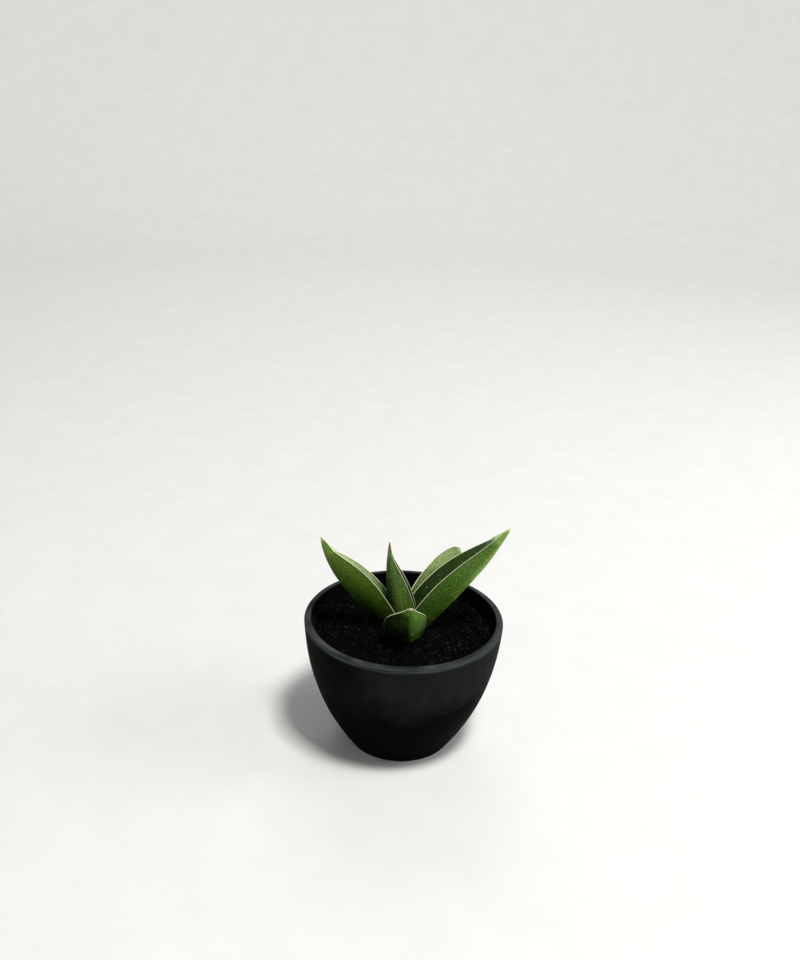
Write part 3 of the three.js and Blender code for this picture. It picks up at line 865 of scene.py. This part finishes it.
def pot_finish():
    """Matt black wall, a little slate blue and dusty high up, and warmer and darker low down and on
    the side turned from the light, as painted shade, with faint clouds and upright wiping marks.
    The rim is rubbed paler in streaks round it, and the inside above the soil is blacker as
    painted shade."""
    finish, tree, shader = start_finish("matt_black_pot")
    place = object_place(tree)
    height = split(tree, place)[2]
    radius = measure(tree, "DISTANCE", squeeze(tree, place, (1, 1, 0)), (0, 0, 0))
    facing = measure(tree, "DOT_PRODUCT", place, PAINTED_SHADE_SIDE)
    cloud = noise(tree, place, 38, detail=5, roughness=0.6)
    wipe = noise(tree, squeeze(tree, place, WIPE_SQUEEZE), 1, detail=4, roughness=0.6)
    streak = noise(tree, squeeze(tree, place, RIM_SQUEEZE), 1, detail=4, roughness=0.65)
    speck = noise(tree, place, 1900, detail=2, roughness=0.6)
    pitted = noise(tree, place, 1300, detail=3, roughness=0.6)

    # Painted shade: darker low down and towards one side; the dust marks lie only on the lighter
    # part
    patchy = span(tree, cloud, 0.3, 0.7, -DUST_AND_SHADE_WAVER, DUST_AND_SHADE_WAVER)
    dust_and_painted_light_high = span(tree, combine(tree, "ADD", height, patchy), *DUST_AND_SHADE_HEIGHTS)
    dust_and_painted_light_side = span(tree, combine(tree, "ADD", facing, patchy), *PAINTED_SHADE_REACH, PAINTED_SHADE_KEEPS, 1)
    dust_and_painted_light = product(tree, dust_and_painted_light_high, dust_and_painted_light_side)
    colour = mix(tree, dust_and_painted_light, POT_COLOURS["foot"], POT_COLOURS["wall"])
    marks = product(tree, span(tree, wipe, 0.45, 0.75, 0.02, 0.42), dust_and_painted_light)
    colour = mix(tree, marks, colour, POT_COLOURS["dust"])

    rubbed = mix(tree, span(tree, streak, 0.35, 0.68), POT_COLOURS["rim"], POT_COLOURS["streak"])
    worn = span(tree, height, *(POT_HEIGHT - depth for depth in WORN_DEPTHS))
    colour = mix(tree, worn, colour, rubbed)
    # Painted shade: the inner wall above the soil is blacker
    within = span(tree, radius, *(INNER_EDGE + reach for reach in PAINTED_SHADE_INSIDE_REACH))
    within = product(tree, within, span(tree, height, *PAINTED_SHADE_INSIDE_HEIGHTS))
    colour = mix(tree, within, colour, POT_COLOURS["inside"])
    specks = product(tree, span(tree, speck, 0.67, 0.74), span(tree, dust_and_painted_light, 0, 1, 0.05, 0.35))
    colour = mix(tree, specks, colour, POT_COLOURS["speck"])
    dress(tree, shader, colour, span(tree, cloud, 0.3, 0.8, 0.5, 0.62), POT_SPECULAR)
    bump(tree, shader, pitted, 0.25, 0.15 * MM)
    return finish


def soil_finish():
    """Nearly black damp peat with brown patches and rough grains."""
    finish, tree, shader = start_finish("damp_peat")
    place = object_place(tree)
    fine = noise(tree, place, 1400, detail=4, roughness=0.7)
    patch = noise(tree, place, 130)
    grains = ramp(tree, fine, (0.42, SOIL_COLOURS["dark"]), (0.68, SOIL_COLOURS["light"]))
    brown = span(tree, patch, 0.55, 0.75, 0, 0.4)
    colour = mix(tree, brown, grains, SOIL_COLOURS["brown"])
    dress(tree, shader, colour, span(tree, fine, 0.3, 0.7, 0.95, 0.75), SOIL_SPECULAR)
    bump(tree, shader, fine, 0.8, 0.3 * MM)
    return finish


def crumb_finish():
    """Each crumb's own shade from near black to dark brown, with pale mineral specks and brownish
    fibres among them."""
    finish, tree, shader = start_finish("peat_crumbs")
    shade, pale, fibre = split(tree, own_mark(tree, "tint"))
    fine = noise(tree, object_place(tree), 2600, detail=3, roughness=0.6)
    colour = mix(tree, fibre, ramp(tree, shade, *CRUMB_SHADES), FIBRE_COLOUR)
    colour = mix(tree, pale, colour, PALE_CRUMB_COLOUR)
    grains = ramp(tree, fine, (0.3, (0.55,) * 3), (0.7, (1.3,) * 3))
    colour = mix(tree, 1.0, colour, grains, "MULTIPLY")
    dress(tree, shader, colour, span(tree, fine, 0.3, 0.7, 0.7, 0.95), CRUMB_SPECULAR)
    bump(tree, shader, fine, 0.6, 0.12 * MM)
    return finish


def root_finish():
    """Tan fibrous rootstock with darker scaly rings and soil in its hollows."""
    finish, tree, shader = start_finish("fibrous_root")
    place = object_place(tree)
    fibre = noise(tree, squeeze(tree, place, (900, 900, 160)), 1, detail=5, roughness=0.65)
    ring = noise(tree, squeeze(tree, place, (90, 90, 700)), 1, detail=3, roughness=0.6)
    soiled = noise(tree, place, 300, detail=4)
    colour = ramp(tree, fibre, (0.3, ROOT_COLOURS["dark"]), (0.7, ROOT_COLOURS["light"]))
    colour = mix(tree, span(tree, ring, 0.52, 0.66, 0, 0.8), colour, ROOT_COLOURS["ring"])
    colour = mix(tree, span(tree, soiled, 0.55, 0.7), colour, ROOT_COLOURS["soil"])
    dress(tree, shader, colour, 0.85, ROOT_SPECULAR)
    bump(tree, shader, fibre, 0.5, 0.3 * MM)
    return finish


def painted_shade_half(tree, share, across, side):
    """How much of its colour each place on a leaf keeps under a painted shade: all of it where side
    is 0, and else little of it on that side of a line along the leaf. The line lies beside the keel
    near the soil and comes to it at the tip, where the painted shade is less dark."""
    if not side:
        return 1.0
    beside = span(tree, share, 0.35, 0.95, *(side * shift for shift in SHADE_SHIFT))
    shaded = span(tree, combine(tree, "ADD", across, beside), *(side * edge for edge in SHADE_EDGE))
    shaded = product(tree, shaded, span(tree, share, 0.5, 1, 0.97, 0.82))
    return combine(tree, "SUBTRACT", 1.0, shaded)


def leaf_finish(name, leaf, colours):
    """Waxy skin: a gradient along the leaf, on most leaves darker near the soil as painted shade,
    under long streaks, soft tinted patches, broken cross bands and a dense grain of small pale
    dots. The keel has a colour of its own that is painted shade or a painted highlight, and so has
    the channel up to the solid end, paler or darker as painted light and shade. On a leaf with a
    painted shade side, that half is darkened as painted shade. Beside the pale horny margin runs a
    dark line, a few specks are white, and the point is dry. The pattern lies on the leaf's own
    marks. Skin is the way round from the keel, the way along, and the face. Place is the share of
    the length, the distance from the margin, and the face."""
    finish, tree, shader = start_finish(name + "_skin")
    skin = own_mark(tree, "skin")
    across = split(tree, skin)[0]
    share, from_margin, face = split(tree, own_mark(tree, "place"))
    cross = noise(tree, squeeze(tree, skin, BAND_SQUEEZE), 1, detail=4, roughness=0.6)
    stripe = noise(tree, squeeze(tree, skin, STRIPE_SQUEEZE), 1, detail=3, roughness=0.6)
    streak = noise(tree, squeeze(tree, skin, STREAK_SQUEEZE), 1, detail=3, roughness=0.6)
    grain = noise(tree, skin, 1250, detail=2, roughness=0.5)
    fine = noise(tree, skin, 2600, detail=3, roughness=0.6)
    cloud = noise(tree, skin, 110, detail=3, roughness=0.5)
    blotch = noise(tree, skin, 340, detail=3, roughness=0.5)
    speck = noise(tree, skin, 620, detail=0, roughness=0)

    wavering = combine(tree, "ADD", share, span(tree, cloud, 0.3, 0.7, -0.12, 0.12))
    # The outer face is darker near the soil: painted shade on all but the centre leaf
    outside = mix(tree, span(tree, wavering, 0.12, 0.62), colours["low"], colours["high"])
    strength = colours["streaks"]
    streaks = span(tree, streak, 0.35, 0.65, 1 - strength, 1 + strength)
    outside = shade_by(tree, outside, streaks)
    # The channel is paler or darker on each leaf, and darker near the soil: painted light and shade
    risen = span(tree, wavering, 0.2, 0.75)
    channel = mix(tree, risen, colours["channel_low"], colours["channel_high"])
    channel = shade_by(tree, channel, span(tree, stripe, 0.35, 0.65, 0.72, 1.25))
    # One half of the front leaf is darkened here: painted shade
    kept_by_painted_shade = painted_shade_half(tree, share, across, colours["painted_shade_side"])
    colour = shade_by(tree, mix(tree, face, outside, channel), kept_by_painted_shade)

    tinted = product(tree, span(tree, blotch, 0.5, 0.66), span(tree, face, 0, 1, 0.5, 0))
    colour = mix(tree, tinted, colour, colours["blotch"])
    solid = span(tree, share, leaf["sealed"] - END_BLUR, leaf["sealed"] + END_BLUR)
    colour = mix(tree, solid, colour, mix(tree, face, colours["end"], colours["end_within"]))
    bands = product(tree, span(tree, cross, 0.54, 0.68), span(tree, face, 0, 1, *colours["bands"]))
    colour = mix(tree, bands, colour, colours["dots"])
    # The dots fade near the soil and in the painted shade half
    dots = product(tree, span(tree, grain, 0.5, 0.63), span(tree, face, 0, 1, 0.55, 0.16),
                   span(tree, wavering, 0.05, 0.4, colours["low_dots"], 1), kept_by_painted_shade)
    colour = mix(tree, dots, colour, colours["dots"])

    # The keel colour is painted: shade on the left and centre leaves, a highlight on the front and
    # right
    from_keel = add(tree, "Math", {0: across}, operation="ABSOLUTE").outputs[0]
    half_round = combine(tree, "ADD", from_keel, from_margin)
    round_share = combine(tree, "DIVIDE", from_keel, half_round)
    near_keel = span(tree, round_share, colours["ridge"], 0.3 * colours["ridge"], 0, 0.94)
    ridge = product(tree, near_keel, span(tree, wavering, *colours["ridge_reach"]),
                    span(tree, face, 0, 0.1, 1, 0), kept_by_painted_shade)
    colour = mix(tree, ridge, colour, colours["keel"])
    mottle = product(tree, span(tree, grain, 0.34, 0.5, 0.45, 1),
                     span(tree, fine, 0.3, 0.7, 0.8, 1.2))
    colour = shade_by(tree, colour, mottle)

    hem = span(tree, share, colours["hem"], colours["hem"] - HEM_BLUR)
    width = colours["hem_width"]
    dark_line = product(tree, span(tree, from_margin, width, width + LINE_START),
                        span(tree, from_margin, width + LINE_END, width + LINE_FADE),
                        span(tree, face, 0, 1, 0.75, 0.4), hem)
    colour = mix(tree, dark_line, colour, LINE_COLOUR)
    horny = span(tree, from_margin, width + MARGIN_BLUR, width - MARGIN_BLUR)
    colour = mix(tree, product(tree, horny, hem), colour, MARGIN_COLOUR)
    colour = mix(tree, span(tree, speck, 0.81, 0.85, 0, 0.5), colour, SPECK_COLOUR)
    if "fleck" in colours:
        away = measure(tree, "DISTANCE", squeeze(tree, skin, FLECK_SQUEEZE), colours["fleck"])
        colour = mix(tree, span(tree, away, *FLECK_RADII, 0, 0.85), colour, SPECK_COLOUR)
    dry = combine(tree, "ADD", share, span(tree, grain, 0.3, 0.7, -0.01, 0.01))
    dry = span(tree, dry, 1 - colours["brown"], 1 - 0.4 * colours["brown"])
    colour = mix(tree, dry, colour, colours["point"])

    dress(tree, shader, colour, span(tree, grain, 0.3, 0.7, 0.34, 0.5), LEAF_SPECULAR)
    shader.inputs["Subsurface Weight"].default_value = FLESH_WEIGHT
    shader.inputs["Subsurface Radius"].default_value = FLESH_RADIUS
    shader.inputs["Subsurface Scale"].default_value = 1.0
    rough = combine(tree, "ADD", grain, product(tree, stripe, 0.8))
    bump(tree, shader, rough, 0.4, 0.14 * MM)
    return finish


def make_stage():
    """A round pale floor that curves up into a wall: flat to the bend, then a quarter circle, and
    then straight up."""
    profile = np.concatenate([
        line((FLOOR_START, 0), (FLOOR_FLAT, 0), 20),
        arc((FLOOR_FLAT, FLOOR_BEND), FLOOR_BEND, -90, 0, 24),
        [(FLOOR_FLAT + FLOOR_BEND, FLOOR_BEND + FLOOR_WALL)],
    ])
    surface = spin(profile, FLOOR_SIDES)
    corners = np.concatenate([surface.reshape(-1, 3), [[0, 0, 0]]])
    faces = grid_faces(len(surface), FLOOR_SIDES).tolist()
    faces += fan_faces(len(corners) - 1, np.arange(FLOOR_SIDES), False).tolist()
    finish, tree, shader = start_finish("pale_floor")
    paper = noise(tree, object_place(tree), 30)
    dress(tree, shader, ramp(tree, paper, *FLOOR_SHADES), 0.9, FLOOR_SPECULAR)
    return make_piece("floor", corners, faces, finish)


def make_light(name, place, size, power, colour):
    """A square soft light at a place, turned to face the plant."""
    data = bpy.data.lights.new(name, "AREA")
    data.size = size
    data.energy = power
    data.color = colour
    light = bpy.data.objects.new(name, data)
    facing = (Vector(place) - Vector(PLANT_HEART)).to_track_quat("Z", "Y")
    light.matrix_world = Matrix.Translation(place) @ facing.to_matrix().to_4x4()
    bpy.context.scene.collection.objects.link(light)


def make_camera():
    """A camera at the photograph's viewing angle: pitched down, then rolled so that its right side
    is a little higher."""
    lens = bpy.data.cameras.new("camera")
    lens.lens = CAMERA_LENS
    lens.sensor_width = CAMERA_SENSOR
    camera = bpy.data.objects.new("camera", lens)
    camera.matrix_world = (
        Matrix.Translation(CAMERA_PLACE)
        @ Matrix.Rotation(radians(90 - CAMERA_PITCH), 4, "X")
        @ Matrix.Rotation(radians(CAMERA_ROLL), 4, "Z")
    )
    bpy.context.scene.collection.objects.link(camera)
    return camera


pot = make_pot(pot_finish())
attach(pot, "root")
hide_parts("pot")

soil = make_soil(soil_finish())
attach(soil, "root")
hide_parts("soil")

crumbs = make_crumbs(crumb_finish(), LEAVES)
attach(crumbs, "root")

for order, (name, leaf) in enumerate(LEAVES.items()):
    skin = leaf_finish(name, leaf, LEAF_COLOURS[name])
    blade = make_leaf(name, leaf, skin, FIRST_LEAF_SEED + LEAF_SEED_STEP * order)
    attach(blade, "root")
    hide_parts(name)

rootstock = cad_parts["rootstock"]
rootstock.data.materials.clear()
rootstock.data.materials.append(root_finish())

make_stage()
for light in LIGHTS:
    make_light(*light)

world = bpy.data.worlds.new("soft_room")
bpy.context.scene.world = world
world.use_nodes = True
world.node_tree.nodes["Background"].inputs["Color"].default_value = ROOM_COLOUR
world.node_tree.nodes["Background"].inputs["Strength"].default_value = ROOM_STRENGTH

bpy.context.scene.camera = make_camera()
bpy.context.scene.view_settings.view_transform = "Standard"
